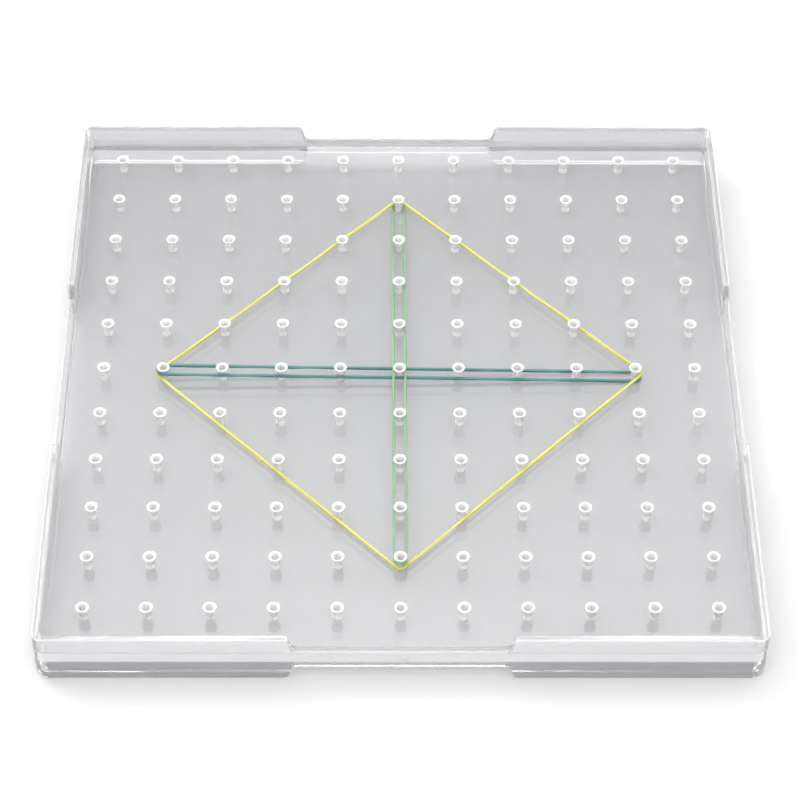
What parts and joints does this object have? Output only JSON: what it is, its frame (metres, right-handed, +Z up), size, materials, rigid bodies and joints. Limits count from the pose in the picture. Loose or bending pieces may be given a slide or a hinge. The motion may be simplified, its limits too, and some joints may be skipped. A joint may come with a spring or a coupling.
{
  "type": "geoboard",
  "caption": "Clear plastic geoboard: a square plate with a notched rim and a grid of ring-headed pins, with three coloured rubber bands stretched round the pins.",
  "frame": {"origin": "centre of the board's footprint, at the bottom of its rim", "axes": "+Z up out of the pin side, +Y towards the back edge, +X to the right; rows run along X"},
  "size_m": [0.23, 0.23, 0.02],
  "materials": {
    "clear_plastic": "clear moulded plastic, glossy, colourless",
    "clear_pin": "clear moulded plastic pins, glossy, colourless",
    "yellow_rubber": "smooth pale yellow rubber",
    "teal_rubber": "smooth teal rubber",
    "green_rubber": "smooth pale green rubber"
  },
  "bodies": {
    "geoboard": {"board": "clear_plastic", "pin_row_01": "clear_pin", "pin_row_02": "clear_pin", "pin_row_03": "clear_pin", "pin_row_04": "clear_pin", "pin_row_05": "clear_pin", "pin_row_06": "clear_pin", "pin_row_07": "clear_pin", "pin_row_08": "clear_pin", "pin_row_09": "clear_pin", "pin_row_10": "clear_pin", "pin_row_11": "clear_pin"},
    "yellow_loop": {"yellow_band": "yellow_rubber"},
    "teal_loop": {"teal_band": "teal_rubber"},
    "green_loop": {"green_band": "green_rubber"}
  },
  "joints": [
    {"name": "yellow_band_lift", "type": "slide", "parent": "geoboard", "child": "yellow_loop", "axis": [0, 0, 1], "range_m": [0, 0.02], "deforming": ["yellow_band"]},
    {"name": "teal_band_lift", "type": "slide", "parent": "geoboard", "child": "teal_loop", "axis": [0, 0, 1], "range_m": [0, 0.02], "deforming": ["teal_band"]},
    {"name": "green_band_lift", "type": "slide", "parent": "geoboard", "child": "green_loop", "axis": [0, 0, 1], "range_m": [0, 0.02], "deforming": ["green_band"]}
  ]
}
